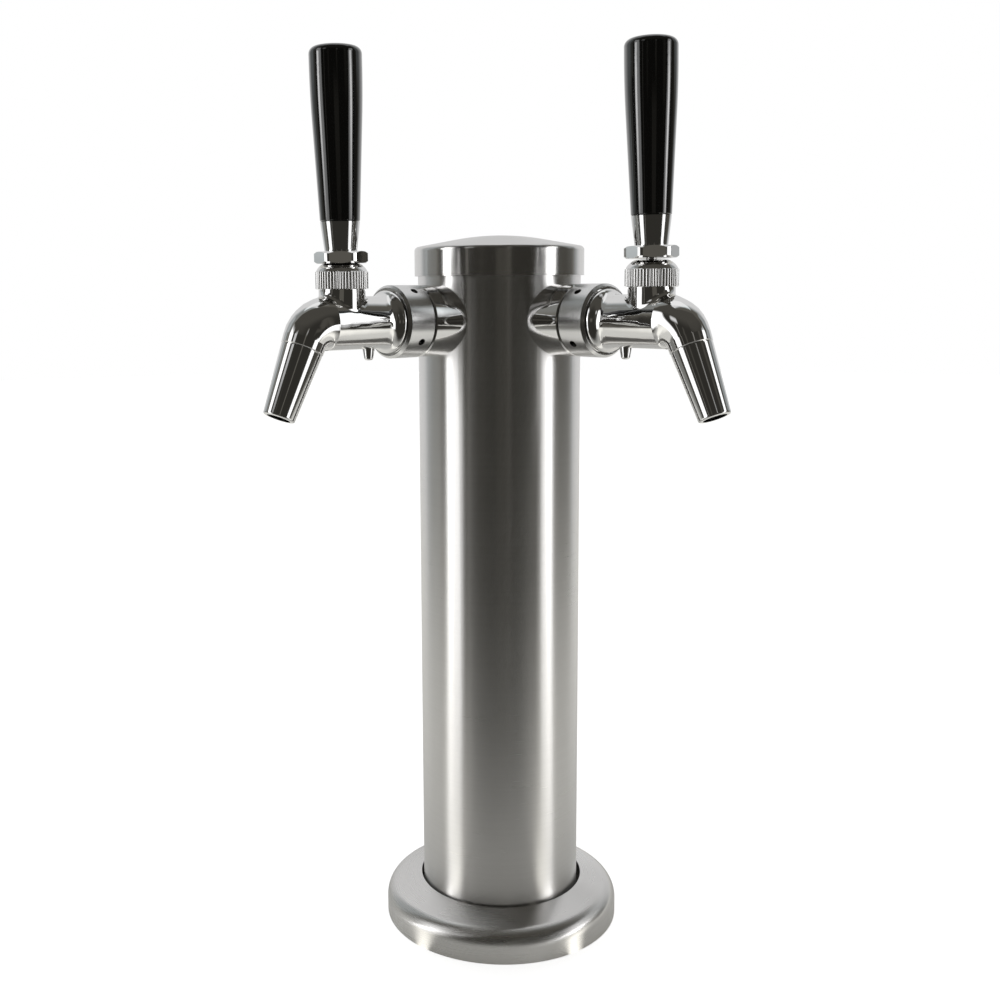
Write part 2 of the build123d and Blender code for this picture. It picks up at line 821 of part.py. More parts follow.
# ================================================================ shuttle, ball and bonnet
def front_seat_o_ring(section):
    centre = (seat_ring_distance, seat_ring_diameter / 2)
    return o_ring(section, plane_axis(section), centre, seat_ring_section)


def shuttle(section):
    """The sliding valve: fluted guide, rod with a hole for the lever's tip, and a coned head."""
    guide_start = lever_distance - shuttle_tail_length
    guide_end = guide_start + shuttle_guide_length
    guide = main_bore_radius - shuttle_guide_clearance
    head_end = seat_ring_distance - shuttle_head_setback
    head_start = head_end - shuttle_head_length
    rod, head = shuttle_rod_diameter / 2, shuttle_head_diameter / 2
    points = (
        (guide_start, 0),
        (guide_start, guide),
        (guide_end, guide),
        (guide_end, rod),
        (head_start, rod),
        (head_start, head),
        (head_end, head),
        (head_end + shuttle_nose_length, shuttle_nose_diameter / 2),
        (head_end + shuttle_nose_length, 0),
    )
    slot = (
        (0, -rod),
        (finger_slot, -rod),
        (finger_slot, rod - finger_slot_flare),
        (finger_slot + finger_slot_flare, rod),
        (0, rod),
    )
    lever_plane = lever_section(section)
    with BuildPart() as piece:
        add(turned(section, points, plane_axis(section)))
        with BuildSketch(across_tap(section, guide_start)):
            with PolarLocations(guide, shuttle_flute_count, start_angle=45):
                Circle(shuttle_flute_diameter / 2)
        extrude(amount=shuttle_guide_length, mode=Mode.SUBTRACT)
        add(turned(lever_plane, slot, plane_axis(lever_plane, direction=(0, 1))), mode=Mode.SUBTRACT)
    return piece.part


def lower_ball_seat(section):
    """The ring under the ball, hollowed to the ball."""
    with BuildPart() as piece:
        with BuildSketch(across_lever(section, seat_shoulder_height)):
            Circle(packing_radius)
        extrude(amount=ball_seat_top - seat_shoulder_height)
        with Locations(section.from_local_coords(Vector(lever_distance, pivot_height, 0))):
            Sphere(ball_socket, mode=Mode.SUBTRACT)
    return piece.part


def ball_o_ring(section):
    plane = lever_section(section)
    centre = (ball_socket + ball_ring_section / 2, pivot_height)
    return o_ring(plane, plane_axis(plane, direction=(0, 1)), centre, ball_ring_section)


def upper_ball_washer(section):
    """The ring that the bonnet presses on the ball, coned open for the lever's swing."""
    plane = lever_section(section)
    sill_height = pivot_height + sqrt(ball_socket**2 - ball_washer_sill**2)
    cone = (
        (0, sill_height),
        (ball_washer_sill, sill_height),
        (bonnet_floor_opening / 2, bonnet_floor),
        (0, bonnet_floor),
    )
    with BuildPart() as piece:
        with BuildSketch(across_lever(section, ball_washer_bottom)):
            Circle(packing_radius)
        extrude(amount=bonnet_floor - ball_washer_bottom)
        with Locations(section.from_local_coords(Vector(lever_distance, pivot_height, 0))):
            Sphere(ball_socket, mode=Mode.SUBTRACT)
        add(turned(plane, cone, plane_axis(plane, direction=(0, 1))), mode=Mode.SUBTRACT)
    return piece.part


def bonnet(section):
    """The cap nut that holds the ball down, with round ribs about it and a full crown."""
    plane = lever_section(section)
    upright = plane_axis(plane, direction=(0, 1))
    crown_edge, mouth = bonnet_crown_diameter / 2, bonnet_opening / 2
    floor_mouth = bonnet_floor_opening / 2
    blank = (
        (0, bonnet_bottom),
        (bonnet_radius - bonnet_edge_chamfer, bonnet_bottom),
        (bonnet_radius, bonnet_bottom + bonnet_edge_chamfer),
        (bonnet_radius, bonnet_knurl_top - bonnet_edge_chamfer),
        (bonnet_radius - bonnet_edge_chamfer, bonnet_knurl_top),
        (0, bonnet_knurl_top),
    )
    hollow = (
        (0, bonnet_bottom),
        (neck_thread_diameter / 2 + thread_gap, bonnet_bottom),
        (neck_thread_diameter / 2 + thread_gap, bonnet_floor),
        (floor_mouth, bonnet_floor),
        (mouth, bonnet_rim),
        (0, bonnet_rim),
    )
    rib_circle = bonnet_radius - rib_radius
    with BuildPart() as piece:
        with BuildSketch(across_lever(section, bonnet_bottom)):
            Circle(rib_circle)
            with PolarLocations(rib_circle, rib_count):
                Circle(rib_radius)
        extrude(amount=bonnet_knurl_height)
        add(turned(plane, blank, upright), mode=Mode.INTERSECT)
        with BuildSketch(plane):
            with BuildLine():
                Line((0, bonnet_knurl_top), (crown_edge, bonnet_knurl_top))
                RadiusArc((crown_edge, bonnet_knurl_top), (mouth, bonnet_rim), -bonnet_crown_round)
                Line((mouth, bonnet_rim), (0, bonnet_rim))
                Line((0, bonnet_rim), (0, bonnet_knurl_top))
            make_face()
        revolve(axis=upright)
        add(turned(plane, hollow, upright), mode=Mode.SUBTRACT)
    return piece.part


# ================================================================ lever and handle
def lever(section):
    """The ball lever: a finger with a round tip below the ball, a threaded stem above it."""
    plane = lever_section(section)
    thread_end = stem_thread_start + stem_thread_length
    finger, root = finger_diameter / 2, finger_root_diameter / 2
    root_height = pivot_height - sqrt(ball_radius**2 - root**2)
    points = (
        (0, 0),
        (finger, 0),
        (finger, finger_root_height),
        (root, root_height),
        (stem_neck, pivot_height),
        (stem_neck, stem_thread_start),
        (stem_thread, stem_thread_start),
        (stem_thread, thread_end - stem_thread_lead),
        (stem_thread - stem_thread_lead, thread_end),
        (0, thread_end),
    )
    with BuildPart() as piece:
        add(turned(plane, points, plane_axis(plane, direction=(0, 1))))
        with Locations(section.from_local_coords(Vector(lever_distance, pivot_height, 0))):
            Sphere(ball_radius)
        with Locations(section.from_local_coords(Vector(lever_distance, 0, 0))):
            Sphere(finger_tip)
    return piece.part


def handle_jam_nut(section, side):
    """The nut that locks the handle, sunk underneath so that it swings clear of the crown."""
    recess = (jam_nut_recess_diameter / 2, jam_nut_recess_depth)
    plane = across_lever(section, jam_nut_bottom)
    bore = stem_thread + thread_gap
    size = (jam_nut_flats, jam_nut_thickness, bore)
    return hex_nut(plane, *size, jam_nut_turn[side], jam_nut_corner_chamfer, jam_nut_diameter, recess)


def handle_ferrule(section):
    """The chrome cone under the grip, with a spigot that is pressed up into it."""
    plane = lever_section(section)
    spigot_top = grip_bottom + ferrule_spigot_length
    bore, spigot = stem_thread + thread_gap, ferrule_spigot_diameter / 2
    points = (
        (bore, ferrule_bottom),
        (ferrule_bottom_diameter / 2, ferrule_bottom),
        (ferrule_top_diameter / 2, grip_bottom - handle_edge_chamfer),
        (ferrule_top_diameter / 2 - handle_edge_chamfer, grip_bottom),
        (spigot, grip_bottom),
        (spigot, spigot_top),
        (bore, spigot_top),
    )
    return turned(plane, points, plane_axis(plane, direction=(0, 1)))


def handle_grip(section):
    """The grip: a cone that eases upright, with a rounded shoulder and a slightly crowned top."""
    plane = lever_section(section)
    foot = (grip_bottom_diameter / 2, grip_bottom + handle_edge_chamfer)
    cone_top = (grip_cone_diameter / 2, grip_bottom + grip_cone_length)
    radius = grip_top_diameter / 2
    steepness = (cone_top[1] - foot[1]) / (cone_top[0] - foot[0])
    ease = (radius, cone_top[1] + (radius - cone_top[0]) * steepness)
    upright = (radius, cone_top[1] + grip_ease_length)
    shoulder = (radius - grip_shoulder_radius, upright[1] + grip_land_length)
    top = shoulder[1] + grip_shoulder_radius + grip_crown_rise
    arc_end, crown_radius = crown_arc(*shoulder, grip_shoulder_radius, top)
    socket = ferrule_spigot_diameter / 2 + seat_gap
    socket_top = grip_bottom + ferrule_spigot_length + part_gap
    with BuildPart() as piece:
        with BuildSketch(plane):
            with BuildLine():
                Line(foot, cone_top)
                Bezier(cone_top, ease, upright)
                Line(upright, (radius, shoulder[1]))
                CenterArc(shoulder, grip_shoulder_radius, 0, arc_end)
                CenterArc((0, top - crown_radius), crown_radius, arc_end, 90 - arc_end)
                Polyline((0, top), (0, socket_top), (socket, socket_top), (socket, grip_bottom))
                Polyline((socket, grip_bottom), (foot[0] - handle_edge_chamfer, grip_bottom), foot)
            make_face()
        revolve(axis=plane_axis(plane, direction=(0, 1)))
    return piece.part


# ================================================================ write the two taps
fixed_makers = (
    saddle,
    shank,
    coupling_snap_ring,
    coupling_washer,
    shank_washer,
    shank_nut,
    tail_washer,
    tail_elbow,
    tail_nut,
    tap_body,
    spout,
    spout_o_ring,
    front_seat_o_ring,
    shuttle,
    lower_ball_seat,
    ball_o_ring,
    upper_ball_washer,
    bonnet,
)
for side, section in sections.items():
    for maker in fixed_makers:
        save(maker(section), f"{side}_{maker.__name__}")
    save(coupling_nut(section, side), f"{side}_coupling_nut")
    # The lever leans within its finger's play in the shuttle, and takes its handle with it.
    handle = {maker.__name__: maker(section) for maker in (handle_ferrule, handle_grip)}
    handle["handle_jam_nut"] = handle_jam_nut(section, side)
    swung = {name: Pos(0, 0, handle_raise[side]) * part for name, part in handle.items()}
    swung["lever"] = lever(section)
    pivot = section.from_local_coords(Vector(lever_distance, pivot_height, 0))
    for name, part in swung.items():
        save(part.rotate(Axis(pivot, -section.z_dir), lever_lean[side]), f"{side}_{name}")
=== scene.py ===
"""Looks of a twin-tap beer tower: brushed column, polished taps and black handles in a plain white studio."""

import math

import bpy
import numpy as np
from mathutils import Matrix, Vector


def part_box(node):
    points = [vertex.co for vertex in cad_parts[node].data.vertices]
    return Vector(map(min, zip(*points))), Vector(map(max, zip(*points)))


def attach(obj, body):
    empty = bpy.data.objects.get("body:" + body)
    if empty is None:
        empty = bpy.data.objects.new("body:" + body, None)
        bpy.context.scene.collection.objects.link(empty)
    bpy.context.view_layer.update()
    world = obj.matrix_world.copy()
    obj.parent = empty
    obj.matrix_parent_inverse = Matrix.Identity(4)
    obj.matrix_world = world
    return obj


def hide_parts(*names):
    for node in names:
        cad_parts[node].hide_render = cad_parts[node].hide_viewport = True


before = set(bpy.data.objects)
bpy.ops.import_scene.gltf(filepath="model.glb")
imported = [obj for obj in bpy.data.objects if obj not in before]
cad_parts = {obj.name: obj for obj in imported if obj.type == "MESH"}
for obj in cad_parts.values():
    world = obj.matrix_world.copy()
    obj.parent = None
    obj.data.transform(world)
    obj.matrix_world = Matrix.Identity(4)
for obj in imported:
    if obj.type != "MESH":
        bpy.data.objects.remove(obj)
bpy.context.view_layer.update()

DEGREES = 180.0 / math.pi
RIGHTWARD = (1.0, 0.0, 0.0)
FORWARD = (0.0, -1.0, 0.0)
BACKWARD = (0.0, 1.0, 0.0)
UPWARD = (0.0, 0.0, 1.0)

# The way each tap points, and how steeply its spout drops below level.
DIAGONAL = math.sqrt(0.5)
TAP_OUTWARD = {"left": (-DIAGONAL, -DIAGONAL, 0.0), "right": (DIAGONAL, -DIAGONAL, 0.0)}
SPOUT_DROP = math.radians(66.0)


class Wire:
    """A socket of a node tree; sums, products and quotients of wires and numbers add Math nodes to it."""

    def __init__(self, tree, socket=None):
        self.tree = tree
        self.socket = socket

    def node(self, kind, settings=(), sockets=(), output=0):
        """Adds a node: settings go on first, then the values or links of its sockets, by name or number."""
        made = self.tree.nodes.new(kind)
        for name, value in dict(settings).items():
            setattr(made, name, value)
        for key, value in dict(sockets).items():
            if isinstance(value, Wire):
                self.tree.links.new(value.socket, made.inputs[key])
            else:
                made.inputs[key].default_value = value
        return Wire(self.tree, made.outputs[output] if made.outputs else made)

    def math(self, operation, *operands):
        return self.node("ShaderNodeMath", {"operation": operation}, enumerate(operands))

    def __add__(self, other):
        return self.math("ADD", self, other)

    def __sub__(self, other):
        return self.math("SUBTRACT", self, other)

    def __rsub__(self, other):
        return self.math("SUBTRACT", other, self)

    def __mul__(self, other):
        return self.math("MULTIPLY", self, other)

    def __truediv__(self, other):
        return self.math("DIVIDE", self, other)

    def __rtruediv__(self, other):
        return self.math("DIVIDE", other, self)

    __radd__ = __add__
    __rmul__ = __mul__

    def at_least(self, other):
        return self.math("MAXIMUM", self, other)

    def size(self):
        return self.math("ABSOLUTE", self)

    def smooth_step(self, start, end):
        """0 at start, 1 at end, smooth between; start may be the larger, which turns the step round."""
        sockets = {"Value": self, "From Min": start, "From Max": end}
        return self.node("ShaderNodeMapRange", {"interpolation_type": "SMOOTHSTEP"}, sockets)

    def band(self, half_width, edge):
        """1 where this wire is nearer to 0 than its half width, either way, with a soft edge."""
        return self.size().smooth_step(half_width + edge, half_width - edge)

    def dot(self, direction):
        settings = {"operation": "DOT_PRODUCT"}
        return self.node("ShaderNodeVectorMath", settings, {0: self, 1: direction}, "Value")

    def length(self):
        return self.node("ShaderNodeVectorMath", {"operation": "LENGTH"}, {0: self}, "Value")

    def stretched(self, scale):
        """A vector wire multiplied by three factors."""
        return self.node("ShaderNodeVectorMath", {"operation": "MULTIPLY"}, {0: self, 1: scale})

    def noise(self, scale=1.0, detail=2.0, roughness=0.5):
        """Smooth noise, mostly 0.25 to 0.75, of a vector wire."""
        sockets = {"Vector": self, "Scale": scale, "Detail": detail, "Roughness": roughness}
        return self.node("ShaderNodeTexNoise", {}, sockets, "Fac")

    def noise_along(self, scale, detail=2.0):
        """Smooth noise that changes along this one value only."""
        line = self.node("ShaderNodeCombineXYZ", {}, {"X": self, "Y": 0.5, "Z": 0.5})
        return line.noise(scale, detail)

    def blend(self, low, high):
        """The colour low where this wire is 0 and high where it is 1."""
        settings = {"data_type": "RGBA", "clamp_factor": True}
        return self.node("ShaderNodeMix", settings, {0: self, 6: low, 7: high}, 2)


def new_tree(owner):
    """Turns on the nodes of a material or world and empties them."""
    owner.use_nodes = True
    owner.node_tree.nodes.clear()
    return Wire(owner.node_tree)


def new_finish(name):
    """An empty material, its tree, and the place on the piece, in metres, that patterns follow."""
    material = bpy.data.materials.new(name)
    start = new_tree(material)
    return material, start, start.node("ShaderNodeTexCoord", output="Object")


def new_piece(name, points, faces):
    """A piece at the origin, with a mesh of those points and faces."""
    mesh = bpy.data.meshes.new(name)
    mesh.from_pydata(points.tolist(), [], faces)
    piece = bpy.data.objects.new(name, mesh)
    bpy.context.scene.collection.objects.link(piece)
    return piece


def grey(level, warmth=0.0):
    """An opaque grey of that level; warmth above 0 leans it to red and below 0 to blue."""
    return (level * (1 + warmth), level, level * (1 - warmth), 1.0)


# ---------------------------------------------------------------- studio

# The studio as the tower sees it. Azimuths are from the front, positive to the tower's right side (+X).
# Each light: azimuth, its lean outwards for each degree of elevation, half width, soft edge, lowest and
# highest elevation, all in degrees, and its strength.
LIGHTS = (
    (-65.4, -0.26, 11.6, 3.0, -30.0, 38.0, 1.6),  # left strip
    (71.6, 0.42, 9.4, 3.0, -26.0, 34.0, 1.6),  # right strip
    (-73.0, 0.0, 5.0, 2.0, -1.0, 13.0, 6.0),  # bright middle of the left strip
    (76.0, 0.0, 5.0, 2.0, -1.0, 13.0, 6.0),  # bright middle of the right strip
    (-112.0, 0.0, 10.0, 4.0, 5.0, 42.0, 0.46),  # panel behind the left strip
    (116.0, 0.0, 8.0, 4.0, 7.0, 42.0, 0.34),  # panel behind the right strip
    (-42.0, 0.0, 7.0, 2.0, 25.0, 37.0, 0.75),  # high window
    (-42.0, 0.0, 1.2, 1.0, -20.0, 25.0, 0.22),  # thin upright under it
    (-114.5, 0.0, 4.0, 2.0, -1.0, 6.0, 0.70),  # low card at the left
    (7.5, 0.0, 10.5, 1.5, -4.0, 7.0, 0.10),  # low card in front
    (14.0, 0.0, 2.6, 2.0, 8.0, 30.0, 0.13),  # faint upright in front
    (16.0, 0.0, 2.2, 1.0, 19.0, 26.0, 0.45),  # small lamp in front
    (-22.0, 0.0, 4.0, 4.0, 4.0, 24.0, 0.07),  # faint upright, left of the front
    (52.0, 0.0, 8.0, 6.0, 4.0, 34.0, 0.07),  # faint wide upright, right of the front
)
LIGHT_SOFTNESS = 5.0

# The overhead light is a sheet one metre up; its width and depth are in metres.
OVERHEAD_HALF_WIDTH = 0.62
OVERHEAD_EDGE = 0.1
OVERHEAD_DEPTH = (0.10, 0.24)
OVERHEAD_ELEVATION = (54.0, 62.0)
OVERHEAD_LEVEL = 0.98
LEAST_HEIGHT = 0.01

LEFT_BACKDROP_EDGES = (112.0, 136.0)
RIGHT_BACKDROP_EDGES = (112.0, 142.0)
BACKDROP_LEVEL = 0.70
ROOM_LEVEL = 0.030
LEFT_WALL_LEVEL = 0.19
RIGHT_WALL_LEVEL = 0.035
WALL_EDGES = (84.0, 94.0)
WALL_SEAM = 1.0
CEILING_ELEVATION = (22.0, 50.0)
CEILING_LEVEL = 0.035

# Below the first level the room's own warm tint shows, and above the second the lights' colour.
TINT_LEVELS = (0.08, 0.35)
WARM_ROOM = (1.06, 1.0, 0.86, 1.0)
COOL_WALL = (0.94, 1.0, 1.01, 1.0)


def make_studio_world():
    """Light by direction, all white to the camera.

    The tower sees a dim room, two tall strips, an overhead light, a pale backdrop and small cards and lamps.
    """
    world = bpy.data.worlds.new("studio")
    bpy.context.scene.world = world
    start = new_tree(world)
    direction = start.node("ShaderNodeTexCoord", output="Generated")
    rightward = direction.dot(RIGHTWARD)
    backward = direction.dot(BACKWARD)
    upward = direction.dot(UPWARD)
    azimuth = start.math("ARCTAN2", rightward, backward * -1.0) * DEGREES
    elevation = start.math("ARCSINE", upward) * DEGREES

    left_backdrop = (azimuth * -1.0).smooth_step(*LEFT_BACKDROP_EDGES)
    backdrop = azimuth.smooth_step(*RIGHT_BACKDROP_EDGES).at_least(left_backdrop)
    beside = azimuth.size().smooth_step(*WALL_EDGES) * (1.0 - backdrop)
    left_side = azimuth.smooth_step(WALL_SEAM, -WALL_SEAM)
    wall_level = left_side * (LEFT_WALL_LEVEL - RIGHT_WALL_LEVEL) + RIGHT_WALL_LEVEL
    ceiling = elevation.smooth_step(*CEILING_ELEVATION)
    level = backdrop * BACKDROP_LEVEL + beside * wall_level + ceiling * CEILING_LEVEL + ROOM_LEVEL

    height = upward.at_least(LEAST_HEIGHT)
    sideways = (rightward / height).band(OVERHEAD_HALF_WIDTH, OVERHEAD_EDGE)
    overhead = (backward / height).smooth_step(*OVERHEAD_DEPTH) * sideways
    overhead = overhead * elevation.smooth_step(*OVERHEAD_ELEVATION)
    level = level.at_least(overhead * OVERHEAD_LEVEL)

    for middle, lean, half_width, edge, low, high, strength in LIGHTS:
        leaning = elevation.at_least(0.0) * lean + middle
        across = (azimuth - leaning).band(half_width, edge)
        above = elevation.smooth_step(low - LIGHT_SOFTNESS, low + LIGHT_SOFTNESS)
        below = elevation.smooth_step(high + LIGHT_SOFTNESS, high - LIGHT_SOFTNESS)
        level = level.at_least(across * (above * below) * strength)

    tint = level.smooth_step(*TINT_LEVELS).blend(WARM_ROOM, beside.blend(grey(1.0), COOL_WALL))
    camera = start.node("ShaderNodeLightPath", output="Is Camera Ray")
    shade = camera.node("ShaderNodeMix", {"data_type": "FLOAT"}, {0: camera, 2: level, 3: 1.0})
    sockets = {"Color": camera.blend(tint, grey(1.0)), "Strength": shade}
    start.node("ShaderNodeOutputWorld", {}, {"Surface": start.node("ShaderNodeBackground", {}, sockets)})


# The paper sweep, in metres: its radius, and where its mirrored front and sides fade into the room.
FLOOR_RADIUS = 4.0
FLOOR_RINGS = 24
FLOOR_SPOKES = 96
PAPER_FRONT = (-0.34, -0.10)
PAPER_SIDES = (0.85, 0.55)
PAPER_FIBRE = 900.0
PAPER_DARK = (0.80, 0.80, 0.79, 1.0)
PAPER_LIGHT = (0.84, 0.84, 0.83, 1.0)
WARM_PAPER = (1.0, 0.98, 0.90, 1.0)
CAMERA_GLOW = 0.80
BASE_GLOW = 0.155
SIDE_GLOW = 0.24
SIDE_GLOW_START = (0.06, 0.25)

# Each strip's pool of light on the paper: where its rays start (metres to the side, metres behind the
# column's front), its bearing in degrees, and how much brighter it is close to the tower.
POOL_START = (0.022, -0.041)
POOL_BEARING = 76.0
POOL_HALF_WIDTH = 11.0
POOL_EDGE = 7.0
POOL_GLOW = 0.45
NEAR_POOL = (0.14, 0.08)
NEAR_POOL_GLOW = 0.85


def disc_surface(radius, rings, spokes):
    """A flat round sheet at z = 0.

    Ring number n lies at radius * (n / rings) squared, with spokes evenly round, and closes to one centre point.
    """
    r = radius * (np.arange(1, rings + 1) / rings) ** 2
    a = 2 * np.pi * np.arange(spokes) / spokes
    x = (r[:, None] * np.cos(a)).ravel()
    y = (r[:, None] * np.sin(a)).ravel()
    points = np.vstack([[[0.0, 0.0, 0.0]], np.column_stack([x, y, np.zeros_like(x)])])
    i = np.arange(rings - 1)[:, None] * spokes
    j = np.arange(spokes)
    k = (j + 1) % spokes
    quads = np.stack([1 + i + j, 1 + i + spokes + j, 1 + i + spokes + k, 1 + i + k], -1).reshape(-1, 4)
    fan = np.column_stack([np.zeros(spokes, int), 1 + j, 1 + k])
    return points, fan.tolist() + quads.tolist()


def make_floor():
    """Pale paper under the tower, white to the camera but for the tower's soft shadow.

    What mirrors it sees a dimmer sheet that ends in front and at the sides, with a pool of light on each side.
    """
    floor = new_piece("floor_sweep", *disc_surface(FLOOR_RADIUS, FLOOR_RINGS, FLOOR_SPOKES))
    material, start, place = new_finish("floor_paper")
    sides = place.dot(RIGHTWARD).size()
    sheet = place.dot(BACKWARD).smooth_step(*PAPER_FRONT) * sides.smooth_step(*PAPER_SIDES)
    fibre = place.noise(PAPER_FIBRE, detail=3.0).smooth_step(0.2, 0.8)
    camera = start.node("ShaderNodeLightPath", output="Is Camera Ray")
    glossy = start.node("ShaderNodeLightPath", output="Is Glossy Ray")
    through = start.node("ShaderNodeLightPath", output="Is Transmission Ray")
    mirrored = glossy.at_least(through)

    outward = sides - POOL_START[0]
    forward = place.dot(FORWARD) + POOL_START[1]
    bearing = start.math("ARCTAN2", outward, forward) * DEGREES
    pool = (bearing - POOL_BEARING).band(POOL_HALF_WIDTH, POOL_EDGE)
    pool_glow = pool * (place.length().smooth_step(*NEAR_POOL) * NEAR_POOL_GLOW + POOL_GLOW)
    side_glow = sides.smooth_step(*SIDE_GLOW_START) * SIDE_GLOW
    glow = camera * CAMERA_GLOW + mirrored * (side_glow + pool_glow + BASE_GLOW)

    diffuse = start.node("ShaderNodeBsdfDiffuse", {}, {"Color": fibre.blend(PAPER_DARK, PAPER_LIGHT)})
    sockets = {"Color": mirrored.blend(grey(1.0), WARM_PAPER), "Strength": glow}
    paper = start.node("ShaderNodeAddShader", {}, {0: diffuse, 1: start.node("ShaderNodeEmission", {}, sockets)})
    clear = start.node("ShaderNodeBsdfTransparent")
    sockets = {0: mirrored * (1.0 - sheet), 1: paper, 2: clear}
    start.node("ShaderNodeOutputMaterial", {}, {"Surface": start.node("ShaderNodeMixShader", {}, sockets)})
    floor.data.materials.append(material)


# ---------------------------------------------------------------- spun ring

RING_HOLE = 0.0396
RING_WALL = 0.001
RING_SHOULDER = 0.0085
RING_SLOPE = math.radians(17.0)
RING_STEPS = 256
SKIRT_ROWS = 8
SHOULDER_ROWS = 28
CROWN_ROWS = 12
SHARP_EDGE = math.radians(35.0)


def ring_section(radius, height):
    """Closed section of the spun ring, as (radius, height) rows.

    Outside: an upright skirt, an arc for the shoulder and a coned crown up to the hole. Inside: the same,
    less the wall.
    """
    turned = np.linspace(0.0, math.pi / 2 - RING_SLOPE, SHOULDER_ROWS)
    middle = radius - RING_SHOULDER
    crown_start = middle + RING_SHOULDER * math.sin(RING_SLOPE)
    crown_rise = (crown_start - RING_HOLE) * math.tan(RING_SLOPE)
    shoulder_height = height - crown_rise - RING_SHOULDER * math.cos(RING_SLOPE)
    sides = []
    for arc in (RING_SHOULDER, RING_SHOULDER - RING_WALL):
        foot = (middle + arc, 0.0)
        skirt = np.linspace(foot, (middle + arc, shoulder_height), SKIRT_ROWS, endpoint=False)
        bend = np.column_stack([middle + arc * np.cos(turned), shoulder_height + arc * np.sin(turned)])
        lip = (RING_HOLE, height - (RING_SHOULDER - arc) / math.cos(RING_SLOPE))
        crown = np.linspace(bend[-1], lip, CROWN_ROWS)[1:]
        sides.append(np.vstack([skirt, bend, crown]))
    return np.vstack([sides[0], sides[1][::-1]])


def turned_surface(section, centre, steps):
    """Turns a closed section about an upright axis: centre + (r cos a, r sin a, z), with a evenly round."""
    angle = 2 * np.pi * np.arange(steps) / steps
    x = centre[0] + np.outer(np.cos(angle), section[:, 0])
    y = centre[1] + np.outer(np.sin(angle), section[:, 0])
    z = np.broadcast_to(section[:, 1], x.shape)
    rows = len(section)
    i = np.arange(steps)[:, None] * rows
    onward = (np.arange(steps) + 1)[:, None] % steps * rows
    j = np.arange(rows)
    k = (j + 1) % rows
    quads = np.stack([i + j, onward + j, onward + k, i + k], -1).reshape(-1, 4)
    return np.stack([x, y, z], -1).reshape(-1, 3), quads.tolist()


def make_spun_ring():
    """The loose cover ring as it is spun, with a fuller shoulder than the plain ring that it stands for."""
    low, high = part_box("base_cover_ring")
    centre = ((low[0] + high[0]) / 2, (low[1] + high[1]) / 2)
    section = ring_section((high[0] - low[0]) / 2, high[2])
    ring = new_piece("spun_cover_ring", *turned_surface(section, centre, RING_STEPS))
    ring.data.shade_smooth()
    ring.data.set_sharp_from_angle(angle=SHARP_EDGE)
    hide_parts("base_cover_ring")
    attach(ring, "cover_ring")
    return ring


# ---------------------------------------------------------------- finishes

# Cells of a pattern to the metre, along x, y and z.
BRUSHED_FINE = (30.0, 30.0, 4200.0)
BRUSHED_BROAD = (9.0, 9.0, 900.0)
CHROME_SMEARS = (60.0, 60.0, 140.0)
TOOL_MARKS = (700.0, 700.0, 2600.0)
HANDLE_SCRATCHES = (2400.0, 2400.0, 60.0)
SEAT_LINES = (300.0, 300.0, 5200.0)
COLLAR_LINES = 3800.0

STEEL_WARMTH = 0.012
SEAT_PALE = (0.80, 0.79, 0.75, 1.0)
SEAT_YELLOWED = (0.74, 0.72, 0.65, 1.0)
PHENOLIC_IOR = 1.5
COAT_ROUGHNESS = 0.04
# The grain of a surface brushed round z, in turns.
ROUND_GRAIN = 0.25


def close_finish(start, values):
    """Ends a material in a Principled shader with those numbers, colours or wires on its sockets."""
    shader = start.node("ShaderNodeBsdfPrincipled", {}, values)
    start.node("ShaderNodeOutputMaterial", {}, {"Surface": shader})


def bump(start, height, distance):
    """A surface normal from a height wire, with distance in metres from its 0 to its 1."""
    sockets = {"Strength": 1.0, "Distance": distance, "Height": height}
    return start.node("ShaderNodeBump", {}, sockets, "Normal")


def brushed_round(name, base, roughness, anisotropy, line_depth, streak, slant=0.0):
    """Steel brushed round a vertical axis: fine level lines, longer streaks, and faint cloudy wear.

    Slant turns the lines off level, in turns.
    """
    material, start, place = new_finish(name)
    fine = place.stretched(BRUSHED_FINE).noise(detail=2.0)
    broad = place.stretched(BRUSHED_BROAD).noise(detail=3.0)
    cloud = place.noise(24.0, detail=3.0)
    lines = fine * 0.6 + broad * 0.4
    wear = cloud.smooth_step(0.35, 0.7)
    tone = (broad * 0.7 + cloud * 0.3).smooth_step(0.25, 0.75)
    dark, light = (grey(base * (1 + change), STEEL_WARMTH) for change in (-streak, streak))
    close_finish(start, {
        "Base Color": tone.blend(dark, light),
        "Metallic": 1.0,
        "Roughness": roughness + (lines - 0.5) * 0.05 + wear * 0.015,
        "Anisotropic": anisotropy,
        "Anisotropic Rotation": ROUND_GRAIN + slant,
        "Normal": bump(start, lines, line_depth),
    })
    return material


def mirror_chrome(name, base, roughness, ripple, ripple_scale):
    """Polished plating: a faint ripple left by polishing, soft smears and a few fine rubbed marks."""
    material, start, place = new_finish(name)
    waves = place.noise(ripple_scale, detail=1.0)
    smear = place.stretched(CHROME_SMEARS).noise(detail=4.0, roughness=0.6).smooth_step(0.52, 0.8)
    specks = place.noise(2600.0, detail=1.0).smooth_step(0.68, 0.8)
    close_finish(start, {
        "Base Color": smear.blend(grey(base, 0.004), grey(base * 0.95, 0.012)),
        "Metallic": 1.0,
        "Roughness": roughness + smear * 0.05 + specks * 0.08,
        "Normal": bump(start, waves, ripple),
    })
    return material


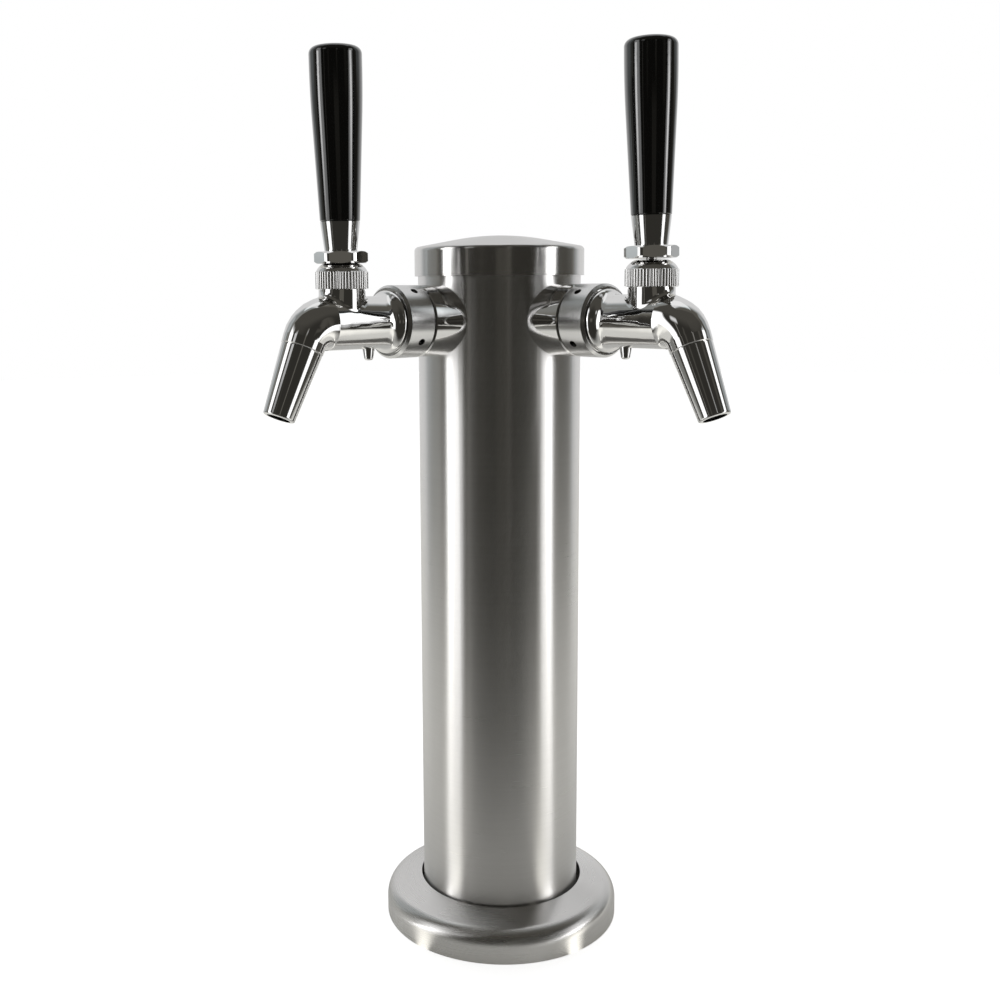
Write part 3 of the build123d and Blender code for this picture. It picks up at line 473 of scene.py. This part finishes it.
def turned_collar(name, axis, base, roughness, line_depth):
    """Metal turned on a lathe: fine lines round its axis, a little uneven, slightly rubbed."""
    material, start, place = new_finish(name)
    lines = place.dot(axis).noise_along(COLLAR_LINES, detail=3.0)
    cloud = place.noise(70.0, detail=3.0)
    tone = (lines * 0.5 + cloud * 0.5).smooth_step(0.3, 0.7)
    close_finish(start, {
        "Base Color": tone.blend(grey(base * 0.93), grey(base)),
        "Metallic": 1.0,
        "Roughness": roughness + (lines - 0.5) * 0.12 + (cloud - 0.5) * 0.06,
        "Normal": bump(start, lines, line_depth),
    })
    return material


def machined_steel(name, base, warmth, roughness):
    """Plain machined or plated steel: fine tool marks, cloudy tone and small dull spots."""
    material, start, place = new_finish(name)
    marks = place.stretched(TOOL_MARKS).noise(detail=2.0)
    tone = place.noise(90.0, detail=4.0).smooth_step(0.3, 0.7)
    spots = place.noise(520.0, detail=2.0).smooth_step(0.6, 0.75)
    close_finish(start, {
        "Base Color": tone.blend(grey(base * 0.88, warmth), grey(base, warmth * 0.6)),
        "Metallic": 1.0,
        "Roughness": roughness + (marks - 0.5) * 0.12 + spots * 0.10,
        "Normal": bump(start, marks, 0.000006),
    })
    return material


def moulded_black(name):
    """Glossy black phenolic: faint orange peel, hair scratches along the handle and a clear polished skin."""
    material, start, place = new_finish(name)
    peel = place.noise(420.0, detail=1.0)
    scratch = place.stretched(HANDLE_SCRATCHES).noise(detail=2.0).smooth_step(0.66, 0.78)
    touch = place.noise(60.0, detail=3.0).smooth_step(0.45, 0.8)
    close_finish(start, {
        "Base Color": touch.blend(grey(0.0015, -0.02), grey(0.003)),
        "Metallic": 0.0,
        "Roughness": touch * 0.03 + scratch * 0.06 + 0.08,
        "IOR": PHENOLIC_IOR,
        "Coat Weight": 1.0,
        "Coat Roughness": COAT_ROUGHNESS,
        "Coat IOR": PHENOLIC_IOR,
        "Normal": bump(start, peel, 0.000012),
    })
    return material


def moulded_seat(name):
    """Off-white acetal seat rings: faint yellowing and turned lines."""
    material, start, place = new_finish(name)
    yellowing = place.noise(160.0, detail=3.0).smooth_step(0.3, 0.7)
    lines = place.stretched(SEAT_LINES).noise(detail=2.0)
    close_finish(start, {
        "Base Color": yellowing.blend(SEAT_PALE, SEAT_YELLOWED),
        "Roughness": 0.38 + lines * 0.10,
        "Normal": bump(start, lines, 0.000008),
    })
    return material


def moulded_rubber(name):
    """Black rubber of gaskets and O-rings: dull, finely grained, with a light dusty bloom."""
    material, start, place = new_finish(name)
    bloom = place.noise(130.0, detail=4.0).smooth_step(0.45, 0.8)
    grain = place.noise(3200.0, detail=2.0)
    close_finish(start, {
        "Base Color": bloom.blend(grey(0.026), grey(0.045)),
        "Roughness": 0.58 + bloom * 0.14,
        "Normal": bump(start, grain, 0.00001),
    })
    return material


def make_tower_finishes():
    """The finish of each named piece of the tower, and of each tap's turned pieces."""
    finishes = {
        "column_tube": brushed_round(
            "column_satin", base=0.72, roughness=0.28, anisotropy=0.97, line_depth=0.0000006, streak=0.015
        ),
        "top_cap": brushed_round(
            "cap_satin", base=0.74, roughness=0.20, anisotropy=0.90, line_depth=0.0000004, streak=0.012
        ),
        "base_cover_ring": brushed_round(
            "ring_spun", base=0.74, roughness=0.27, anisotropy=0.92, line_depth=0.0000006, streak=0.015, slant=-0.13
        ),
    }
    for side, outward in TAP_OUTWARD.items():
        level_part, drop = math.cos(SPOUT_DROP), -math.sin(SPOUT_DROP)
        outlet = (outward[0] * level_part, outward[1] * level_part, drop)
        finishes[f"{side}_coupling_nut"] = turned_collar(
            f"{side}_collar_satin", outward, base=0.74, roughness=0.22, line_depth=0.000004
        )
        finishes[f"{side}_spout"] = turned_collar(
            f"{side}_spout_turned", outlet, base=0.82, roughness=0.07, line_depth=0.0000012
        )
        finishes[f"{side}_handle_ferrule"] = turned_collar(
            f"{side}_ferrule_turned", UPWARD, base=0.80, roughness=0.09, line_depth=0.000001
        )
    return finishes


def finish_pieces(ring):
    """Gives every piece its finish: by its whole name, or else by the longest ending that fits it."""
    finishes = make_tower_finishes()
    ring.data.materials.append(finishes["base_cover_ring"])
    turned_chrome = mirror_chrome("turned_chrome", base=0.80, roughness=0.03, ripple=0.00001, ripple_scale=200.0)
    plated = machined_steel("plated_nut", base=0.60, warmth=0.04, roughness=0.30)
    steel = machined_steel("machined_steel", base=0.62, warmth=0.01, roughness=0.26)
    rubber = moulded_rubber("black_rubber")
    seat = moulded_seat("seat_acetal")
    endings = {
        "saddle": turned_chrome,
        "tap_body": mirror_chrome("cast_chrome", base=0.80, roughness=0.035, ripple=0.00005, ripple_scale=130.0),
        "bonnet": turned_chrome,
        "handle_jam_nut": turned_chrome,
        "shank_nut": plated,
        "tail_nut": plated,
        "handle_grip": moulded_black("black_grip"),
        "ball_seat": seat,
        "ball_washer": seat,
        "gasket": rubber,
        "o_ring": rubber,
        "washer": rubber,
    }
    for name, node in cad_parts.items():
        matches = [ending for ending in endings if name.endswith(ending)]
        by_ending = endings[max(matches, key=len)] if matches else steel
        for slot in node.material_slots:
            slot.material = finishes.get(name, by_ending)


# ---------------------------------------------------------------- camera

CAMERA_PLACE = (0.01374, -0.57884, 0.3075)
CAMERA_YAW = -3.96
CAMERA_PITCH = 8.13
CAMERA_ROLL = -0.45
CAMERA_SENSOR = 36.0
CAMERA_LENS = 43.884
CAMERA_SHIFT = (0.0554, -0.037)
CAMERA_NEAREST = 0.01


def make_camera():
    """A camera a little above tap height, looking slightly down and to its left."""
    yaw, pitch, roll = (math.radians(v) for v in (CAMERA_YAW, CAMERA_PITCH, CAMERA_ROLL))
    level_part = math.cos(pitch)
    ahead = np.array([math.sin(yaw) * level_part, math.cos(yaw) * level_part, -math.sin(pitch)])
    right = np.array([math.cos(yaw), -math.sin(yaw), 0.0])
    up = np.cross(right, ahead)
    lens = bpy.data.cameras.new("studio_camera")
    lens.sensor_width = CAMERA_SENSOR
    lens.lens = CAMERA_LENS
    lens.shift_x, lens.shift_y = CAMERA_SHIFT
    lens.clip_start = CAMERA_NEAREST
    camera = bpy.data.objects.new("studio_camera", lens)
    bpy.context.scene.collection.objects.link(camera)
    turn = np.eye(4)
    turn[:3, 0] = math.cos(roll) * right + math.sin(roll) * up
    turn[:3, 1] = math.cos(roll) * up - math.sin(roll) * right
    turn[:3, 2] = -ahead
    turn[:3, 3] = CAMERA_PLACE
    camera.matrix_world = Matrix(turn.tolist())
    bpy.context.scene.camera = camera


bpy.context.scene.view_settings.view_transform = "Standard"
make_camera()
make_studio_world()
make_floor()
finish_pieces(make_spun_ring())
